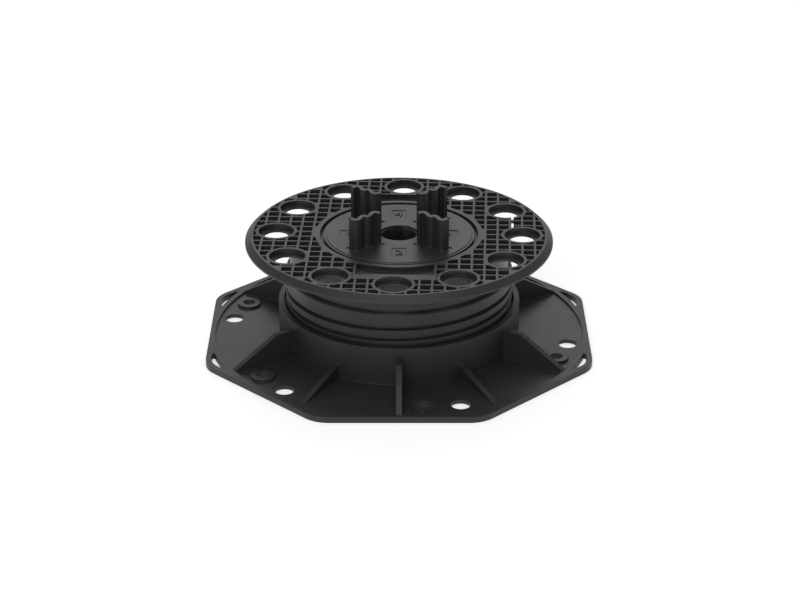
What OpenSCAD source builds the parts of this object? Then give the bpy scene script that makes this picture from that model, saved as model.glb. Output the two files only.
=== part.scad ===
// Screw-jack pedestal for raised paving and decking: an octagonal base with
// a threaded collar, a screw head with a waffle top, and a turnable disc with
// four corrugated lugs that grip a joist or space the slabs.
// Millimetres, +Z up, origin at the centre of the base's underside.

/* [Base plate] */
// Width of the octagonal base across its flats
base_af = 187; // [180:1:230]
// Radius of the base's eight corners
base_corner_r = 15; // [8:1:18]
// Thickness of the base floor
floor_t = 2; // [1.6:0.1:3]
// Height of the thicker band round the edge
rim_t = 3; // [2.5:0.1:4.5]
// Inner radius of the thicker band
rim_r = 91; // [90:0.5:91.5]
// Radius of the drain opening inside the collar
drain_r = 20; // [10:1:30]

/* [Base fixings] */
// Radius of the circle of screw holes
screw_circle_r = 84; // [82:0.5:84.5]
// Diameter of each screw hole
screw_hole_d = 9.3; // [6:0.1:10]
// Radius of the circle of nail bosses
boss_circle_r = 82.3; // [80:0.1:83]
// Outer diameter of each nail boss
boss_d = 11.7; // [10:0.1:12]
// Diameter of each nail hole
nail_hole_d = 6; // [4:0.1:7]
// Height of a nail boss above the floor
boss_h = 1.3; // [0.8:0.1:3]

/* [Collar and ribs] */
// Inside radius of the collar
collar_bore_r = 56.5; // [54:0.1:58]
// Wall of the collar
collar_wall = 2.8; // [2.4:0.1:4]
// Height of the collar's rim above the ground
collar_h = 21; // [19:0.5:28]
// Thickness of the ribs
rib_t = 2.8; // [2:0.1:4]
// Height of the tall ribs' ledge
tall_rib_h = 17; // [12:0.5:18]
// Radius at which the tall ribs' ledge ends
tall_rib_ledge_r = 68; // [64:0.5:74]
// Height of the low ribs at the collar
low_rib_h = 9.3; // [6:0.1:11]

/* [Screw] */
// Rise for one full turn
pitch = 5.5; // [5:0.1:6.5]
// Depth of the groove cut into the screw's skirt
groove_depth = 2.1; // [1.8:0.1:2.2]
// Width of the groove at its mouth
groove_mouth = 2.4; // [2.2:0.1:2.8]
// Running clearance between screw and collar
thread_gap = 0.45; // [0.35:0.05:0.6]
// Wall of the skirt above the thread
skirt_wall = 2.6; // [2.2:0.1:4]
// Height of the skirt's lower end above the ground
skirt_bottom = 8; // [7.5:0.5:10]
// Height at which the threaded stretch ends and the neck begins
thread_top = 37.5; // [36:0.5:40]

/* [Head] */
// Height of the head's top face above the ground
head_h = 55; // [53:0.5:64]
// Diameter of the head
head_d = 150; // [148:1:180]
// Thickness of the head's plate
plate_t = 3.5; // [3.2:0.1:5]
// Skin left under the waffle cells
skin_t = 0.9; // [0.8:0.1:1.2]
// Radius of the head's rounded upper edge
edge_r = 2.8; // [1.5:0.1:3]
// Width of the plain band round the edge
edge_band = 4; // [3.5:0.1:5]
// Spacing of the waffle ribs
cell_pitch = 6; // [5:0.25:9]
// Thickness of the waffle ribs
cell_rib = 1.15; // [1:0.05:1.5]
// Turn of the head about the screw's axis
head_turn = -2.5; // [-15:0.5:15]

/* [Head holes] */
// Number of holes round the head
hole_count = 12; // [8:1:12]
// Radius of the circle of holes
hole_circle_r = 60; // [59.6:0.1:60.2]
// Diameter of each through hole
hole_d = 12; // [8:0.5:13]
// Diameter of each sunken seat
seat_d = 17.4; // [16:0.1:18]
// Diameter of the ring round each seat
seat_ring_d = 20.5; // [19.5:0.1:20.6]
// Half width of the plain pocket at the front and at the back
pocket_half_w = 18.4; // [12:0.1:20]
// Length of the pockets in the radial direction
pocket_len = 8.2; // [5:0.1:8.4]

/* [Tab plate] */
// Diameter of the tab plate
tab_d = 73.6; // [70:0.1:74]
// Gap between the tab plate and its recess, all round
tab_gap = 1.7; // [0.5:0.1:2]
// Width of the raised ring round the recess
recess_ring_w = 2.5; // [2:0.1:3]
// Thickness of the tab plate
tab_t = 2.35; // [2:0.05:2.4]
// Diameter of the key hole
key_hole_d = 18.7; // [14:0.1:20]
// Width of the four slots between the snap fingers
key_slot_w = 4; // [3:0.1:5]
// Height of the lugs above the head
lug_h = 16; // [8:0.5:25]
// Wall of the lugs
lug_wall = 2.2; // [1.8:0.1:2.6]
// Distance from the X axis plane to a lug's inner end, along X
lug_start_x = 9.2; // [8:0.1:11]
// Distance from the Y axis plane to a lug's inner end, along Y
lug_start_y = 12.9; // [12:0.1:15]
// Number of full teeth in a lug's zigzag
lug_teeth = 2; // [1:1:2]

/* [Hidden] */
$fn = 96;
eps = 0.01;

// Octagon
sides = 8;
side_turn = 360 / sides;
corner_steps = 6;
window_inset = 2.7;
window_inner_r = 93.7 + (base_af - 187) / 2;
window_half_angle = 5.6;

// Angular places on the base
screw_hole_angle = -10;
boss_angle = -22;
tall_rib_angle = 30;
low_rib_angles = [60, 120, 240, 300];
fixing_count = 6;

// Collar and thread, which share one helix
collar_r = collar_bore_r + collar_wall;
rib_foot_r = rim_r;
crest_r = collar_bore_r - 1;
root_r = crest_r - groove_depth;
neck_r = root_r;
skirt_bore_r = neck_r - skirt_wall;
ridge_tip_r = root_r + 0.7;
flank = tan(15);
helix_z0 = 18.8;
helix_angle0 = -90;
turn_steps = 60;
ridge_end_angle = -55;
ridge_turns = 2;
groove_end_angle = helix_angle0 + 600;

// Head
head_r = head_d / 2;
plate_z = head_h - plate_t;
cell_floor_z = plate_z + skin_t;
cell = cell_pitch - cell_rib;
waffle_r = head_r - edge_band;
recess_r = tab_d / 2 + tab_gap;
recess_ring_r = recess_r + recess_ring_w;
tab_seat_gap = 0.1;
recess_floor_z = head_h - tab_t - tab_seat_gap;
seat_floor_z = plate_z + skin_t;
slit_w = 1.2;
slit_len = 11.4;
slit_x = 55.3;
slit_y = 16.5;

// Tab plate
tab_top_z = head_h;
tab_bottom_z = tab_top_z - tab_t;
tab_edge = 1.6;
tab_edge_h = 0.7;
key_hole_r = key_hole_d / 2;
key_ledge_w = 0.95;
key_ledge_depth = 1;
finger_t = 1.45;
finger_gap = 0.4;
finger_bore_r = key_hole_r - key_ledge_w;
finger_r = finger_bore_r + finger_t;
web_hole_r = finger_r + finger_gap;
barb_r = web_hole_r + 0.6;
barb_z = plate_z - 0.3;
finger_z = barb_z - 2.2;
notch_r = 1.1;

// Zigzag of one lug, as steps along X and Y from its inner end
lug_lead = [3.2, -2];
lug_rise = [2.5, 7.1];
lug_fall = [2.4, -2.7];
lug_tail = [3.3, -2.9];
lug_zigzag = [for (k = [1 : lug_teeth]) each k == 1 ? [lug_rise] : [lug_fall, lug_rise]];
lug_path = walk([lug_start_x, lug_start_y], concat([lug_lead], lug_zigzag, [lug_tail]));

// Points of an arc about c, from angle a to angle b
function arc(c, r, a, b, n) =
    [for (i = [0 : n]) c + r * [cos(a + (b - a) * i / n), sin(a + (b - a) * i / n)]];

// Regular polygon with flats across af and rounded corners
function rounded_polygon(af, r) =
    let (corner_r = (af / 2 - r) / cos(side_turn / 2))
    [for (k = [0 : sides - 1])
        let (a = side_turn * (k + 0.5))
        each arc(corner_r * [cos(a), sin(a)], r, a - side_turn / 2, a + side_turn / 2, corner_steps)];

// Running sum of a list of steps, from a start point
function walk(start, steps, i = 0) =
    i == len(steps) ? [start] : concat([start], walk(start + steps[i], steps, i + 1));

function unit(v) = v / norm(v);
function left_of(v) = [-v[1], v[0]];

// Offset point of a polyline at vertex i, on the side given by the sign of d
function mitre(p, i, d) =
    let (
        before = i == 0 ? unit(p[1] - p[0]) : unit(p[i] - p[i - 1]),
        after = i == len(p) - 1 ? before : unit(p[i + 1] - p[i]),
        n = unit(left_of(before) + left_of(after))
    )
    p[i] + n * d / (n * left_of(before));

// Height of the shared helix at an angle
function helix_z(angle) = helix_z0 + pitch * (angle - helix_angle0) / 360;

// Closed helical bar with a four-sided section, given as [r, z] corners
module helical_bar(section, from, to) {
    steps = ceil((to - from) / 360 * turn_steps);
    corners = len(section);
    points = [for (i = [0 : steps])
        let (a = from + (to - from) * i / steps)
        for (s = section) [s[0] * cos(a), s[0] * sin(a), s[1] + helix_z(a)]];
    walls = [for (i = [0 : steps - 1], j = [0 : corners - 1])
        let (
            a = i * corners + j,
            b = i * corners + (j + 1) % corners,
            c = a + corners,
            d = b + corners
        )
        each [[a, b, d], [a, d, c]]];
    start_cap = [for (j = [corners - 1 : -1 : 0]) j];
    end_cap = [for (j = [0 : corners - 1]) steps * corners + j];
    polyhedron(points, concat([start_cap], walls, [end_cap]), convexity = 10);
}

// Section of a thread form that is narrow at r_in and wide at r_out
function thread_section(r_in, r_out, half_in) =
    let (half_out = half_in + (r_out - r_in) * flank)
    [[r_in, -half_in], [r_out, -half_out], [r_out, half_out], [r_in, half_in]];

module ring(r_out, r_in, z0, z1) {
    difference() {
        translate([0, 0, z0]) cylinder(r = r_out, h = z1 - z0);
        translate([0, 0, z0 - 1]) cylinder(r = r_in, h = z1 - z0 + 2);
    }
}

// ---------------------------------------------------------------- base

module corner_windows() {
    for (a = [side_turn / 2, 180 - side_turn / 2, 180 + side_turn / 2, 360 - side_turn / 2])
        intersection() {
            linear_extrude(rim_t + 2)
                polygon(rounded_polygon(base_af - 2 * window_inset, base_corner_r - window_inset));
            rotate(a) linear_extrude(rim_t + 2)
                difference() {
                    polygon([[0, 0],
                        base_af * [cos(window_half_angle), -sin(window_half_angle)],
                        base_af * [cos(window_half_angle), sin(window_half_angle)]]);
                    circle(r = window_inner_r);
                }
        }
}

module base_plate() {
    difference() {
        linear_extrude(rim_t) polygon(rounded_polygon(base_af, base_corner_r));
        translate([0, 0, floor_t]) cylinder(r = rim_r, h = rim_t, $fn = 128);
    }
}

module tall_rib() {
    rotate([90, 0, 0])
        translate([0, 0, -rib_t / 2])
            linear_extrude(rib_t)
                polygon([
                    [collar_r - collar_wall / 2, floor_t / 2],
                    [collar_r - collar_wall / 2, tall_rib_h],
                    [tall_rib_ledge_r, tall_rib_h],
                    [rib_foot_r + 0.5, rim_t],
                    [rib_foot_r + 0.5, floor_t / 2]
                ]);
}

module low_rib() {
    rotate([90, 0, 0])
        translate([0, 0, -rib_t / 2])
            linear_extrude(rib_t)
                polygon([
                    [collar_r - collar_wall / 2, floor_t / 2],
                    [collar_r - collar_wall / 2, low_rib_h],
                    [collar_r, low_rib_h],
                    [rib_foot_r - 1, floor_t + 0.3],
                    [rib_foot_r - 1, floor_t / 2]
                ]);
}

module collar_thread() {
    tip_half = groove_mouth / 2 - (crest_r - ridge_tip_r) * flank - thread_gap;
    helical_bar(
        thread_section(ridge_tip_r, collar_bore_r + collar_wall / 2, tip_half),
        ridge_end_angle - 360 * ridge_turns,
        ridge_end_angle
    );
}

module base() {
    color([0.09, 0.09, 0.095])
    difference() {
        union() {
            base_plate();
            ring(collar_r, collar_bore_r, floor_t / 2, collar_h);
            collar_thread();
            for (k = [0 : fixing_count - 1]) {
                rotate(tall_rib_angle + 60 * k) tall_rib();
                rotate(boss_angle + 60 * k)
                    translate([boss_circle_r, 0, floor_t / 2])
                        cylinder(d = boss_d, h = floor_t / 2 + boss_h, $fn = 48);
            }
            for (a = low_rib_angles) rotate(a) low_rib();
        }
        for (k = [0 : fixing_count - 1]) {
            rotate(screw_hole_angle + 60 * k)
                translate([screw_circle_r, 0, -1])
                    cylinder(d = screw_hole_d, h = rim_t + 2, $fn = 48);
            rotate(boss_angle + 60 * k)
                translate([boss_circle_r, 0, -1])
                    cylinder(d = nail_hole_d, h = floor_t + boss_h + 2, $fn = 32);
        }
        translate([0, 0, -1]) corner_windows();
        translate([0, 0, -1]) cylinder(r = drain_r, h = floor_t + 2);
    }
}

// ---------------------------------------------------------------- head

module head_blank() {
    rotate_extrude()
        polygon(concat(
            [
                [0, plate_z],
                [skirt_bore_r, plate_z],
                [skirt_bore_r, skirt_bottom],
                [crest_r, skirt_bottom],
                [crest_r, thread_top - 0.8],
                [crest_r - 0.8, thread_top],
                [neck_r, thread_top],
                [neck_r, plate_z],
                [head_r, plate_z]
            ],
            arc([head_r - edge_r, head_h - edge_r], edge_r, 0, 90, 8),
            [[0, head_h]]
        ));
}

module screw_groove() {
    root_half = groove_mouth / 2 - groove_depth * flank;
    start_angle = helix_angle0 + 360 * (skirt_bottom - pitch - helix_z0) / pitch;
    helical_bar(thread_section(root_r, crest_r + 1, root_half), start_angle, groove_end_angle);
}

// Centres of the holes round the head
hole_centres = [for (k = [0 : hole_count - 1])
    hole_circle_r * [cos(90 + 360 / hole_count * k), sin(90 + 360 / hole_count * k)]];

// Shortest distance from a point to the middle of a hole's ring
function nearest_hole(p) = min([for (c = hole_centres) norm(p - c)]);

// Is a point in front of or behind the recess, over one of the two plain pockets?
function over_pocket(p, margin) =
    abs(p[0]) < pocket_half_w + margin && abs(p[1]) < recess_ring_r + pocket_len + margin;

// A cell is left out where more than its corner would be cut away
function cell_shows(p) =
    let (slack = cell / 4)
    norm(p) < waffle_r + slack
    && norm(p) > recess_ring_r - slack
    && nearest_hole(p) > seat_ring_d / 2 - slack
    && !over_pocket(p, cell_rib);

// One waffle cell at p, clipped by whatever plain band, ring or pocket it meets
module waffle_cell(p) {
    reach = cell * sqrt(0.5);
    trimmed = norm(p) + reach > waffle_r;
    intersection() {
        translate([p[0] - cell / 2, p[1] - cell / 2, 0])
            difference() {
                cube([cell, cell, plate_t]);
                translate([cell / 2 - p[0], cell / 2 - p[1], -1]) {
                    if (norm(p) - reach < recess_ring_r)
                        cylinder(r = recess_ring_r, h = plate_t + 2);
                    for (c = hole_centres)
                        if (norm(p - c) - reach < seat_ring_d / 2)
                            translate(c) cylinder(d = seat_ring_d, h = plate_t + 2, $fn = 48);
                    if (over_pocket(p, cell_rib + cell / 2))
                        translate([-pocket_half_w - cell_rib, -head_r, 0])
                            cube([2 * (pocket_half_w + cell_rib), head_r + recess_ring_r
                                + pocket_len + cell_rib, plate_t + 2]);
                }
            }
        if (trimmed) translate([0, 0, -1]) cylinder(r = waffle_r, h = plate_t + 2);
    }
}

module waffle_cells() {
    n = ceil(waffle_r / cell_pitch);
    for (i = [-n : n - 1], j = [-n : n - 1])
        let (p = [(i + 0.5) * cell_pitch, (j + 0.5) * cell_pitch])
        if (cell_shows(p)) waffle_cell(p);
}

module pocket() {
    difference() {
        translate([-pocket_half_w, 0, 0])
            cube([2 * pocket_half_w, recess_ring_r + pocket_len, plate_t]);
        translate([0, 0, -1]) cylinder(r = recess_ring_r, h = plate_t + 2);
        for (k = [-1 : 1])
            rotate(90 + 360 / hole_count * k)
                translate([hole_circle_r, 0, -1]) cylinder(d = seat_ring_d, h = plate_t + 2, $fn = 48);
    }
}

module head_hole() {
    translate([0, 0, seat_floor_z]) cylinder(d = seat_d, h = plate_t, $fn = 48);
    translate([0, 0, plate_z - 1]) cylinder(d = hole_d, h = plate_t + 2, $fn = 48);
}

module head() {
    color([0.1, 0.1, 0.105])
    difference() {
        head_blank();
        screw_groove();
        translate([0, 0, recess_floor_z]) cylinder(r = recess_r, h = plate_t);
        translate([0, 0, plate_z - 1]) cylinder(r = web_hole_r, h = plate_t + 2, $fn = 64);
        rotate(head_turn) {
            translate([0, 0, cell_floor_z]) waffle_cells();
            for (k = [0 : hole_count - 1])
                rotate(90 + 360 / hole_count * k)
                    translate([hole_circle_r, 0, 0]) head_hole();
            for (side = [0, 180])
                rotate(side) translate([0, 0, cell_floor_z]) pocket();
            translate([slit_x - slit_w / 2, slit_y - slit_len / 2, plate_z - 1])
                cube([slit_w, slit_len, plate_t + 2]);
        }
    }
}

// ---------------------------------------------------------------- tab plate

module lug_plan() {
    last = len(lug_path) - 1;
    polygon(concat(
        [for (i = [0 : last]) mitre(lug_path, i, lug_wall / 2)],
        [for (i = [last : -1 : 0]) mitre(lug_path, i, -lug_wall / 2)]
    ));
}

module lug_quarter() {
    translate([0, 0, tab_bottom_z + tab_t / 2])
        linear_extrude(tab_t / 2 + lug_h) lug_plan();
}

module snap_fingers() {
    difference() {
        rotate_extrude()
            polygon([
                [finger_bore_r, tab_bottom_z + tab_t / 4],
                [finger_bore_r, finger_z],
                [finger_r, finger_z],
                [barb_r, barb_z],
                [finger_r, barb_z],
                [finger_r, tab_bottom_z + tab_t / 4]
            ]);
        for (a = [0, 90])
            rotate(a)
                translate([-web_hole_r * 2, -key_slot_w / 2, finger_z - 1])
                    cube([web_hole_r * 4, key_slot_w, plate_t + plate_t]);
    }
}

// Small three-sided holes that free both ends of a lug from the plate
module lug_notches() {
    last = len(lug_path) - 1;
    for (i = [0, last])
        let (out = unit(lug_path[i] - lug_path[i == 0 ? 1 : last - 1]) * (lug_wall / 4 + notch_r))
        translate([lug_path[i][0] + out[0], lug_path[i][1] + out[1], tab_bottom_z - 1])
            rotate(atan2(out[1], out[0])) cylinder(r = notch_r, h = tab_t + 2, $fn = 3);
}

module tab_plate() {
    tab_r = tab_d / 2;
    color([0.1, 0.1, 0.105])
    difference() {
        union() {
            rotate_extrude()
                polygon([
                    [0, tab_bottom_z],
                    [tab_r, tab_bottom_z],
                    [tab_r, tab_top_z - tab_edge_h],
                    [tab_r - tab_edge, tab_top_z],
                    [0, tab_top_z]
                ]);
            for (x = [0, 1], y = [0, 1])
                mirror([x, 0, 0]) mirror([0, y, 0]) lug_quarter();
            snap_fingers();
        }
        for (x = [0, 1], y = [0, 1])
            mirror([x, 0, 0]) mirror([0, y, 0]) lug_notches();
        translate([0, 0, tab_bottom_z - 1]) cylinder(r = finger_bore_r, h = tab_t + 2);
        translate([0, 0, tab_top_z - key_ledge_depth]) cylinder(r = key_hole_r, h = tab_t);
    }
}

base();
head();
tab_plate();
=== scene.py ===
import math

import bmesh
import bpy
from mathutils import Matrix, Vector


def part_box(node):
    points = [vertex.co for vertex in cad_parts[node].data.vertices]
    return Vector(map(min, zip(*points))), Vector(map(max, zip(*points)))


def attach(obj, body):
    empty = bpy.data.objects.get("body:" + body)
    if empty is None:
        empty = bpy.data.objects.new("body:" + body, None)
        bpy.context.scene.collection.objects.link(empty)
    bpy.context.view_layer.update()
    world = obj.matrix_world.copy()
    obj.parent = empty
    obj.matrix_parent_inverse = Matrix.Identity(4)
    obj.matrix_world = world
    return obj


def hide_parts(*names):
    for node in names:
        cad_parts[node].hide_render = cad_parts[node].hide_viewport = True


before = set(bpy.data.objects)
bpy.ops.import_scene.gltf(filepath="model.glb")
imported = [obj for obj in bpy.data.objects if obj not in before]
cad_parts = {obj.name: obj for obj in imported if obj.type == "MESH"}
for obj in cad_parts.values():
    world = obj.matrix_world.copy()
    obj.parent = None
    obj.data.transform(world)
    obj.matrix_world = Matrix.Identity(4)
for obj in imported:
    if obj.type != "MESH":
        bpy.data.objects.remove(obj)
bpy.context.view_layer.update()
mm = 0.001

# ------------------------------------------------------------------ base
# Injection-moulded base of black polypropylene: an octagonal plate with a
# threaded collar and ribs. Its tool leaves a fine spark-eroded grain and
# slightly rounded edges, and it carries a trace of pale dust on top.

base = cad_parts["base"]
black = (0.021, 0.021, 0.0225, 1)
dust_colour = (0.32, 0.32, 0.31, 1)
polypropylene_ior = 1.49
gloss_spread = 0.06
# Edges are painted this many times lighter than the plastic: a painted highlight along the rounded
# edges.
edge_highlight = 2.2
edge_gain = 6.0
grain_depth = 0.00004
speck_scale = 1400.0
speck_threshold = 0.69


def new_group(name, inputs, outputs):
    """An empty shader group with float inputs and the given outputs."""
    group = bpy.data.node_groups.new(name, "ShaderNodeTree")
    for label, value in inputs.items():
        socket = group.interface.new_socket(label, in_out="INPUT", socket_type="NodeSocketFloat")
        socket.default_value = value
    for label, kind in outputs.items():
        group.interface.new_socket(label, in_out="OUTPUT", socket_type=kind)
    return group, group.nodes.new("NodeGroupInput"), group.nodes.new("NodeGroupOutput")


def math_node(group, operation, a, b=None):
    """A Math node whose inputs are sockets or plain numbers."""
    node = group.nodes.new("ShaderNodeMath")
    node.operation = operation
    for i, value in enumerate([a] if b is None else [a, b]):
        if isinstance(value, (int, float)):
            node.inputs[i].default_value = value
        else:
            group.links.new(value, node.inputs[i])
    return node.outputs[0]


def noise_node(group, coordinates, scale, detail):
    """A Noise texture whose scale is a socket or a plain number."""
    node = group.nodes.new("ShaderNodeTexNoise")
    node.inputs["Detail"].default_value = detail
    group.links.new(coordinates, node.inputs["Vector"])
    if isinstance(scale, (int, float)):
        node.inputs["Scale"].default_value = scale
    else:
        group.links.new(scale, node.inputs["Scale"])
    return node.outputs["Fac"]


def make_grain():
    """Spark-eroded mould grain: a fine height, and broad patches of uneven gloss."""
    group, inner, outer = new_group(
        "mould_grain",
        {"Grain Scale": 2600.0, "Patch Scale": 55.0},
        {"Height": "NodeSocketFloat", "Patches": "NodeSocketFloat"},
    )
    place = group.nodes.new("ShaderNodeTexCoord").outputs["Object"]
    fine = noise_node(group, place, inner.outputs["Grain Scale"], 3)
    broad = noise_node(group, place, inner.outputs["Patch Scale"], 4)
    group.links.new(fine, outer.inputs["Height"])
    group.links.new(broad, outer.inputs["Patches"])
    return group


def make_soft_edges():
    """The small radius on every moulded edge, and a mask of where the edges lie, which places the
    painted edge highlight.
    """
    group, inner, outer = new_group(
        "soft_edges",
        {"Radius": 0.0004},
        {"Normal": "NodeSocketVector", "Edge": "NodeSocketFloat"},
    )
    bevel = group.nodes.new("ShaderNodeBevel")
    bevel.samples = 6
    group.links.new(inner.outputs["Radius"], bevel.inputs["Radius"])
    face = group.nodes.new("ShaderNodeNewGeometry").outputs["Normal"]
    dot = group.nodes.new("ShaderNodeVectorMath")
    dot.operation = "DOT_PRODUCT"
    group.links.new(bevel.outputs["Normal"], dot.inputs[0])
    group.links.new(face, dot.inputs[1])
    bend = math_node(group, "SUBTRACT", 1.0, dot.outputs["Value"])
    edge = math_node(group, "MULTIPLY", bend, edge_gain)
    edge = math_node(group, "MINIMUM", edge, 1.0)
    group.links.new(bevel.outputs["Normal"], outer.inputs["Normal"])
    group.links.new(edge, outer.inputs["Edge"])
    return group


def make_dust():
    """Pale dust: a mask that is strongest on faces that look up, in soft patches."""
    group, inner, outer = new_group(
        "settled_dust",
        {"Amount": 0.1, "Scale": 90.0},
        {"Mask": "NodeSocketFloat"},
    )
    place = group.nodes.new("ShaderNodeTexCoord").outputs["Object"]
    face = group.nodes.new("ShaderNodeNewGeometry").outputs["Normal"]
    split = group.nodes.new("ShaderNodeSeparateXYZ")
    group.links.new(face, split.inputs[0])
    up = math_node(group, "MAXIMUM", split.outputs["Z"], 0.0)
    cloud = noise_node(group, place, inner.outputs["Scale"], 5)
    speck = noise_node(group, place, speck_scale, 2)
    speck = math_node(group, "GREATER_THAN", speck, speck_threshold)
    mix = math_node(group, "ADD", cloud, speck)
    settled = math_node(group, "MULTIPLY", mix, up)
    mask = math_node(group, "MULTIPLY", settled, inner.outputs["Amount"])
    group.links.new(mask, outer.inputs["Mask"])
    return group


mould_grain = make_grain()
soft_edges = make_soft_edges()
settled_dust = make_dust()


def place_group(tree, group, **values):
    """Places a shader group in a material, with its own input values."""
    node = tree.nodes.new("ShaderNodeGroup")
    node.node_tree = group
    for label, value in values.items():
        node.inputs[label.replace("_", " ")].default_value = value
    return node


def moulded_plastic(name, colour, roughness, grain, edge_radius, dust):
    """Black polypropylene straight from the tool, with its own grain and gloss, and a painted
    highlight that lightens its edges.
    """
    material = bpy.data.materials.new(name)
    material.use_nodes = True
    tree = material.node_tree
    shader = tree.nodes["Principled BSDF"]
    shader.inputs["IOR"].default_value = polypropylene_ior

    grain_node = place_group(tree, mould_grain)
    edge_node = place_group(tree, soft_edges, Radius=edge_radius)
    dust_node = place_group(tree, settled_dust, Amount=dust)

    gloss = tree.nodes.new("ShaderNodeMapRange")
    gloss.inputs["To Min"].default_value = roughness - gloss_spread
    gloss.inputs["To Max"].default_value = roughness + gloss_spread
    tree.links.new(grain_node.outputs["Patches"], gloss.inputs["Value"])
    tree.links.new(gloss.outputs["Result"], shader.inputs["Roughness"])

    # Painted highlight: the colour is lightened along the moulded edges that the soft_edges mask
    # finds.
    edge_lit = tree.nodes.new("ShaderNodeMix")
    edge_lit.data_type = "RGBA"
    edge_lit.inputs["A"].default_value = colour
    edge_lit.inputs["B"].default_value = [edge_highlight * c for c in colour[:3]] + [1]
    tree.links.new(edge_node.outputs["Edge"], edge_lit.inputs["Factor"])
    dusty = tree.nodes.new("ShaderNodeMix")
    dusty.data_type = "RGBA"
    dusty.inputs["B"].default_value = dust_colour
    tree.links.new(dust_node.outputs["Mask"], dusty.inputs["Factor"])
    tree.links.new(edge_lit.outputs["Result"], dusty.inputs["A"])
    tree.links.new(dusty.outputs["Result"], shader.inputs["Base Color"])

    bump = tree.nodes.new("ShaderNodeBump")
    bump.inputs["Strength"].default_value = grain
    bump.inputs["Distance"].default_value = grain_depth
    tree.links.new(grain_node.outputs["Height"], bump.inputs["Height"])
    tree.links.new(edge_node.outputs["Normal"], bump.inputs["Normal"])
    tree.links.new(bump.outputs["Normal"], shader.inputs["Normal"])
    return material


def dress(piece, material):
    """Gives a piece its finish, in place of any that it had."""
    piece.data.materials.clear()
    piece.data.materials.append(material)


base_plastic = moulded_plastic(
    "base_plastic", black, roughness=0.46, grain=0.5, edge_radius=0.0004, dust=0.03
)
dress(base, base_plastic)

# ------------------------------------------------------------------ head
# Screw head of the same polypropylene: a waffle plate on a hollow screw. The
# moulding is taken over whole, its screw groove is wound on to its real end
# and the plate's upper edge is planed to its flat chamfer.

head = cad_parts["head"]
head_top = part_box("head")[1][2]
head_r = 75 * mm
merge_distance = 0.001 * mm


def linked(name, data):
    """A new object that holds the data and is linked to the scene."""
    piece = bpy.data.objects.new(name, data)
    bpy.context.scene.collection.objects.link(piece)
    return piece


def piece_from(shape, name):
    """Turns a bmesh into a linked object and frees the bmesh."""
    mesh = bpy.data.meshes.new(name)
    shape.to_mesh(mesh)
    shape.free()
    return linked(name, mesh)


def closed_copy(node, name):
    """A copy of a CAD node with its doubled vertices merged, as a new object."""
    shape = bmesh.new()
    shape.from_mesh(node.data)
    bmesh.ops.remove_doubles(shape, verts=shape.verts, dist=merge_distance)
    return piece_from(shape, name)


def evaluated_mesh(piece):
    """The mesh of a piece with its modifiers applied, or of a curve as it is filled."""
    bpy.context.view_layer.update()
    seen = piece.evaluated_get(bpy.context.evaluated_depsgraph_get())
    return bpy.data.meshes.new_from_object(seen)


def carve(piece, tool):
    """Cuts a tool out of a piece and deletes the tool."""
    modifier = piece.modifiers.new("carve", "BOOLEAN")
    modifier.operation = "DIFFERENCE"
    modifier.object = tool
    modifier.solver = "EXACT"
    mesh = evaluated_mesh(piece)
    piece.modifiers.clear()
    piece.data = mesh
    bpy.data.objects.remove(tool)


almost_level = 0.05
on_axis = 0.1 * mm
faces_axis = 0.9985


def true_round(piece, axes):
    """Shades each face flat, or as its true round surface where it is turned about an axis."""
    mesh = piece.data
    mesh.shade_smooth()
    normals = [None] * len(mesh.loops)
    for face in mesh.polygons:
        for k in face.loop_indices:
            normals[k] = face.normal.copy()
        flat = face.normal.xy.length
        if flat < almost_level:
            continue
        for axis in axes:
            radial = face.center.xy - axis
            if radial.length < on_axis:
                continue
            facing = face.normal.xy.dot(radial) / (flat * radial.length)
            if abs(facing) > faces_axis:
                for k in face.loop_indices:
                    out = mesh.vertices[mesh.loops[k].vertex_index].co.xy - axis
                    out = out.normalized() * math.copysign(flat, facing)
                    normals[k] = Vector((out.x, out.y, face.normal.z))
                break
    mesh.normals_split_custom_set(normals)


def grid_of_rings(shape, rings, closed):
    """Joins rows of points by four-sided faces; closed also joins the last row to the first."""
    rows = [[shape.verts.new(p) for p in ring] for ring in rings]
    pairs = list(zip(rows, rows[1:])) + ([(rows[-1], rows[0])] if closed else [])
    faces = []
    for one, other in pairs:
        for k in range(len(one)):
            after = (k + 1) % len(one)
            faces.append(shape.faces.new((one[k], one[after], other[after], other[k])))
    if not closed:
        faces.append(shape.faces.new(rows[0][::-1]))
        faces.append(shape.faces.new(rows[-1]))
    bmesh.ops.recalc_face_normals(shape, faces=faces)


def turned(profile, name, steps=128):
    """A ring turned about Z from a closed profile of (radius, height) points."""
    shape = bmesh.new()
    angles = [2 * math.pi * k / steps for k in range(steps)]
    rings = [[(r * math.cos(a), r * math.sin(a), z) for r, z in profile] for a in angles]
    grid_of_rings(shape, rings, closed=True)
    return piece_from(shape, name)


pitch = 5.5 * mm
helix_low = 18.8 * mm
groove_root = 53.4 * mm
groove_outside = 56.5 * mm
groove_root_half = 0.64 * mm
groove_outside_half = 1.47 * mm
groove_start = 1.5
groove_end = 2.67


def wound_groove(first_turn, last_turn, steps_per_turn=72):
    """The groove's cutter: a four-sided section wound up the screw's helix."""
    shape = bmesh.new()
    section = [
        (groove_root, -groove_root_half),
        (groove_outside, -groove_outside_half),
        (groove_outside, groove_outside_half),
        (groove_root, groove_root_half),
    ]
    count = round((last_turn - first_turn) * steps_per_turn)
    rings = []
    for k in range(count + 1):
        turns = first_turn + (last_turn - first_turn) * k / count
        a = 2 * math.pi * turns - math.pi / 2
        z = helix_low + pitch * turns
        rings.append([(r * math.cos(a), r * math.sin(a), z + rise) for r, rise in section])
    grid_of_rings(shape, rings, closed=False)
    return piece_from(shape, "groove_cutter")


screw_head = closed_copy(head, "screw_head")
carve(screw_head, wound_groove(groove_start, groove_end))

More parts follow.
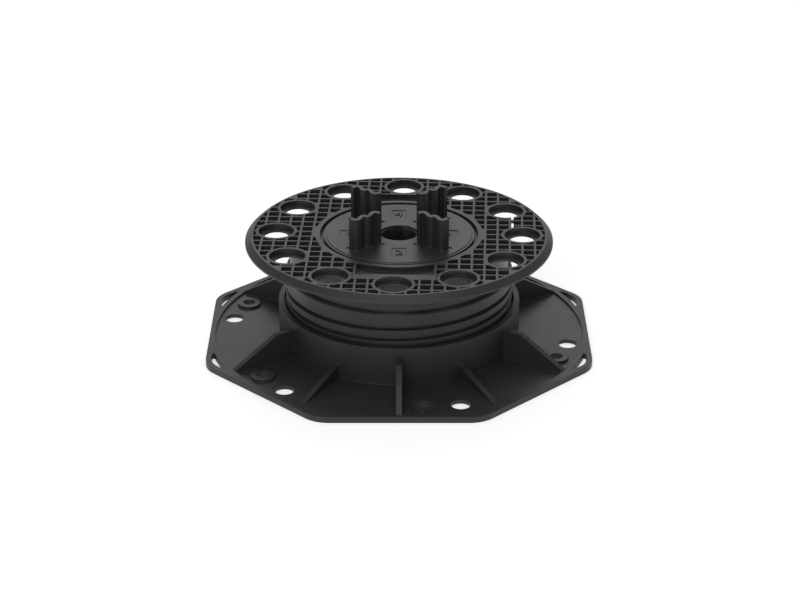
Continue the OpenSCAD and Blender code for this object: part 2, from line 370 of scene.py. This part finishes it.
chamfer_drop = 2.6 * mm
chamfer_in = 2.8 * mm
overcut = 2 * mm
chamfer_cutter = turned(
    [
        (head_r - chamfer_in, head_top),
        (head_r, head_top - chamfer_drop),
        (head_r + overcut, head_top - chamfer_drop),
        (head_r + overcut, head_top + overcut),
        (head_r - chamfer_in, head_top + overcut),
    ],
    "chamfer_cutter",
)
carve(screw_head, chamfer_cutter)

hole_count = 12
hole_circle_r = 60 * mm
hole_turn = math.radians(87.5)
hole_angles = [hole_turn + 2 * math.pi * k / hole_count for k in range(hole_count)]
hole_axes = [hole_circle_r * Vector((math.cos(a), math.sin(a))) for a in hole_angles]
true_round(screw_head, [Vector((0, 0))] + hole_axes)
head_plastic = moulded_plastic(
    "head_plastic", black, roughness=0.44, grain=0.5, edge_radius=0.0003, dust=0.02
)
dress(screw_head, head_plastic)
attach(screw_head, "head")
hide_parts("head")

# ------------------------------------------------------------------ tab plate
# Snap-in disc with four corrugated lugs, moulded in the same plastic with a
# smoother face. Each side carries a shallow sunken pad with a raised number.

plate_low, plate_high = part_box("tab_plate")
plate_top = head_top
plate_bottom = plate_top - 2.35 * mm
plate_r = 36.8
border_w = 1.3
key_r = 9.35
ledge_r = 8.4
ledge_drop = 1 * mm
slot_half = 2.0
slot_reach = 10.0
disc_steps = 128


def circle(radius, steps=disc_steps):
    """Points round a circle, in millimetres."""
    angles = [2 * math.pi * k / steps for k in range(steps)]
    return [(radius * math.cos(a), radius * math.sin(a)) for a in angles]


def keyed(radius, arc_steps=12):
    """The key hole's outline: a circle with four slots that run past it."""
    first = math.asin(slot_half / radius)
    points = []
    for quarter in range(4):
        a = quarter * math.pi / 2
        c, d = math.cos(a), math.sin(a)
        for x, y in ((slot_reach, -slot_half), (slot_reach, slot_half)):
            points.append((x * c - y * d, x * d + y * c))
        for k in range(arc_steps + 1):
            b = a + first + (math.pi / 2 - 2 * first) * k / arc_steps
            points.append((radius * math.cos(b), radius * math.sin(b)))
    return points


notch_places = [(7.7, 13.8), (24.5, 18.3)]
notch_r = 1.5


def notch(x, y):
    """The small three-sided hole that frees the end of a lug."""
    first = math.atan2(y, x)
    angles = [first + 2 * math.pi * k / 3 for k in range(3)]
    return [(x + notch_r * math.cos(a), y + notch_r * math.sin(a)) for a in angles]


signs = [(i, j) for i in (-1, 1) for j in (-1, 1)]
notches = [notch(x * i, y * j) for i, j in signs for x, y in notch_places]

pad_near = 18.2
pad_far = 28.8
pad_half = 3.5
pad_depth = 0.35 * mm
pad_sides = (("2", 0, -1), ("3", 1, 0), ("4", 0, 1), ("5", -1, 0))


def pad(way_x, way_y):
    """Outline of the sunken pad on the side that a unit step points to."""
    across = (-way_y * pad_half, way_x * pad_half)
    near = (way_x * pad_near, way_y * pad_near)
    far = (way_x * pad_far, way_y * pad_far)
    return [
        (near[0] - across[0], near[1] - across[1]),
        (far[0] - across[0], far[1] - across[1]),
        (far[0] + across[0], far[1] + across[1]),
        (near[0] + across[0], near[1] + across[1]),
    ]


def mesh_of_curve(curve, middle, thickness):
    """The mesh of a filled curve that is drawn in millimetres and is one unit thick."""
    holder = linked(curve.name, curve)
    mesh = evaluated_mesh(holder)
    bpy.data.objects.remove(holder)
    mesh.transform(Matrix.Translation(middle) @ Matrix.Diagonal((mm, mm, thickness, 1)))
    return mesh


def slab(outlines, low, high):
    """A flat slab: the first outline is its edge and the others are its holes."""
    curve = bpy.data.curves.new("slab", "CURVE")
    curve.dimensions = "2D"
    curve.fill_mode = "BOTH"
    curve.extrude = 0.5
    for outline in outlines:
        spline = curve.splines.new("POLY")
        spline.points.add(len(outline) - 1)
        spline.use_cyclic_u = True
        for point, (x, y) in zip(spline.points, outline):
            point.co = (x, y, 0, 1)
    return mesh_of_curve(curve, (0, 0, (low + high) / 2), high - low)


# The disc is three slabs, each sunk a little into the one below: the keyed
# ledge, the body, and the upper face inside its border, with the pads left out.
disc = bmesh.new()
ledge_z = plate_top - ledge_drop
lower_face = plate_top - pad_depth
seam = 0.05 * mm
pads = [pad(x, y) for _, x, y in pad_sides]
face_outlines = [circle(plate_r - border_w), circle(key_r)] + notches + pads
for mesh in (
    slab([circle(plate_r), keyed(ledge_r)] + notches, plate_bottom, ledge_z),
    slab([circle(plate_r), circle(key_r)] + notches, ledge_z - seam, lower_face),
    slab(face_outlines, lower_face - seam, plate_top),
):
    disc.from_mesh(mesh)
bmesh.ops.remove_doubles(disc, verts=disc.verts, dist=merge_distance)
bmesh.ops.recalc_face_normals(disc, faces=disc.faces)

# The four snap fingers under the key hole, each part of a ring with a barb.
finger_start = 13
finger_span = 64
finger_steps = 16
finger_root = plate_bottom + 0.5 * mm
finger_bottom = plate_low[2]
barb_z = finger_bottom + 2.2 * mm
finger_in = 8.4 * mm
finger_out = 9.85 * mm
barb_r = 10.85 * mm
finger_profile = [
    (finger_in, finger_root),
    (finger_out, finger_root),
    (finger_out, barb_z),
    (barb_r, barb_z),
    (finger_out, finger_bottom),
    (finger_in, finger_bottom),
]
for quarter in range(4):
    degrees = [finger_span * k / finger_steps for k in range(finger_steps + 1)]
    angles = [math.radians(90 * quarter + finger_start + part) for part in degrees]
    rings = [[(r * math.cos(a), r * math.sin(a), z) for r, z in finger_profile] for a in angles]
    grid_of_rings(disc, rings, closed=False)

# Middle line of a lug, from its inner end: two soft waves.
lug_root = plate_bottom + 1 * mm
lug_top = plate_high[2]
lug_wall = 2.2
lug_corners = [(9.2, 12.9), (12.4, 10.9), (14.9, 18.0), (17.3, 15.3), (19.8, 22.4), (23.1, 19.5)]


def rounded(path, passes=3):
    """Cuts each inner corner of a path, which leaves soft waves."""
    for _ in range(passes):
        soft = [path[0]]
        for (ax, ay), (bx, by) in zip(path, path[1:]):
            soft.append((0.75 * ax + 0.25 * bx, 0.75 * ay + 0.25 * by))
            soft.append((0.25 * ax + 0.75 * bx, 0.25 * ay + 0.75 * by))
        path = soft + [path[-1]]
    return path


def moved_aside(path, distance):
    """The path moved to its left by a distance, or to its right where that is negative."""
    moved = []
    last = len(path) - 1
    for k, (x, y) in enumerate(path):
        ax, ay = path[max(k - 1, 0)]
        bx, by = path[min(k + 1, last)]
        length = math.hypot(bx - ax, by - ay)
        moved.append((x - (by - ay) / length * distance, y + (bx - ax) / length * distance))
    return moved


middle_line = rounded(lug_corners)
lug_outline = moved_aside(middle_line, lug_wall / 2) + moved_aside(middle_line, -lug_wall / 2)[::-1]
for i, j in signs:
    rings = [[(x * i * mm, y * j * mm, z) for x, y in lug_outline] for z in (lug_root, lug_top)]
    grid_of_rings(disc, rings, closed=False)

sharp_angle = math.radians(30)
lug_disc = piece_from(disc, "lug_disc")
lug_disc.data.shade_smooth()
lug_disc.data.set_sharp_from_angle(angle=sharp_angle)
tab_plastic = moulded_plastic(
    "tab_plastic", black, roughness=0.42, grain=0.35, edge_radius=0.0003, dust=0.02
)
dress(lug_disc, tab_plastic)
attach(lug_disc, "tab_plate")
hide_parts("tab_plate")


digit_size = 8
digit_rise = 0.4 * mm


def number(digit, x, y):
    """A raised digit that is read from the front, with its middle at a place on a pad."""
    curve = bpy.data.curves.new("number_" + digit, "FONT")
    curve.body = digit
    curve.size = digit_size
    curve.extrude = 0.5
    curve.align_x = "CENTER"
    curve.align_y = "CENTER"
    middle = (x * mm, y * mm, lower_face + digit_rise / 2)
    return linked("number_" + digit, mesh_of_curve(curve, middle, digit_rise))


pad_middle = (pad_near + pad_far) / 2
for digit, way_x, way_y in pad_sides:
    raised = number(digit, pad_middle * way_x, pad_middle * way_y)
    dress(raised, tab_plastic)
    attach(raised, "tab_plate")

# ------------------------------------------------------------------ stage
# A plain pale floor under soft studio light, seen from a little above.

floor_half = 6.0
floor_glow = 0.5
floor_mesh = bpy.data.meshes.new("floor")
floor_mesh.from_pydata(
    [(x * floor_half, y * floor_half, 0) for x, y in ((-1, -1), (1, -1), (1, 1), (-1, 1))],
    [],
    [(0, 1, 2, 3)],
)
floor = linked("floor", floor_mesh)


def show_white_to_camera(tree, plain, amount):
    """Adds white for rays from the camera, whether straight, by gloss or through glass."""
    rays = tree.nodes.new("ShaderNodeLightPath").outputs
    direct = math_node(tree, "MAXIMUM", rays["Is Camera Ray"], rays["Is Glossy Ray"])
    direct = math_node(tree, "MAXIMUM", direct, rays["Is Transmission Ray"])
    glow = tree.nodes.new("ShaderNodeEmission")
    glow.inputs["Color"].default_value = (1, 1, 1, 1)
    tree.links.new(math_node(tree, "MULTIPLY", direct, amount), glow.inputs["Strength"])
    total = tree.nodes.new("ShaderNodeAddShader")
    tree.links.new(plain, total.inputs[0])
    tree.links.new(glow.outputs["Emission"], total.inputs[1])
    return total.outputs["Shader"]


floor_material = bpy.data.materials.new("pale_floor")
floor_material.use_nodes = True
floor_tree = floor_material.node_tree
floor_shader = floor_tree.nodes["Principled BSDF"]
floor_shader.inputs["Base Color"].default_value = (0.8, 0.8, 0.8, 1)
floor_shader.inputs["Roughness"].default_value = 0.9
floor_shader.inputs["Specular IOR Level"].default_value = 0.0
floor_tree.links.new(
    show_white_to_camera(floor_tree, floor_shader.outputs["BSDF"], floor_glow),
    floor_tree.nodes["Material Output"].inputs["Surface"],
)
floor_mesh.materials.append(floor_material)

world = bpy.data.worlds.new("studio")
bpy.context.scene.world = world
world.use_nodes = True
world_tree = world.node_tree
sky = world_tree.nodes["Background"]
sky.inputs["Color"].default_value = (1, 1, 1, 1)
# The camera sees a white world, and everything else is lit by the dimmer ambient.
ambient = 0.38
rays = world_tree.nodes.new("ShaderNodeLightPath").outputs
seen = math_node(world_tree, "MAXIMUM", rays["Is Camera Ray"], rays["Is Transmission Ray"])
extra = math_node(world_tree, "MULTIPLY", seen, 1 - ambient)
level = math_node(world_tree, "ADD", extra, ambient)
world_tree.links.new(level, sky.inputs["Strength"])


lamp_aim = Vector((0, 0, 0.03))


def soft_box(name, azimuth, elevation, distance, size, watts):
    """A square area lamp that faces the object from the given direction."""
    lamp = bpy.data.lights.new(name, "AREA")
    lamp.size = size
    lamp.energy = watts
    holder = linked(name, lamp)
    a, e = math.radians(azimuth), math.radians(elevation)
    way = Vector((math.cos(e) * math.sin(a), -math.cos(e) * math.cos(a), math.sin(e)))
    holder.location = way * distance + lamp_aim
    holder.rotation_euler = way.to_track_quat("Z", "Y").to_euler()


soft_box("key", azimuth=180, elevation=40, distance=1.6, size=1.0, watts=4.5)
soft_box("top", azimuth=0, elevation=80, distance=1.4, size=0.9, watts=3)
soft_box("front_fill", azimuth=-15, elevation=25, distance=2.0, size=1.0, watts=10)

camera_data = bpy.data.cameras.new("camera")
camera_data.lens = 101.02
camera_data.sensor_width = 36
camera_data.clip_start = 0.01
camera = linked("camera", camera_data)
camera_aim = Vector((0.00047, 0, 0.018865))
camera_angle = math.radians(25.007)
camera_distance = 1.10928
camera_way = Vector((0, -math.cos(camera_angle), math.sin(camera_angle)))
camera.location = camera_aim + camera_distance * camera_way
camera.rotation_euler = (math.pi / 2 - camera_angle, 0, 0)
bpy.context.scene.camera = camera

bpy.context.scene.view_settings.view_transform = "Standard"
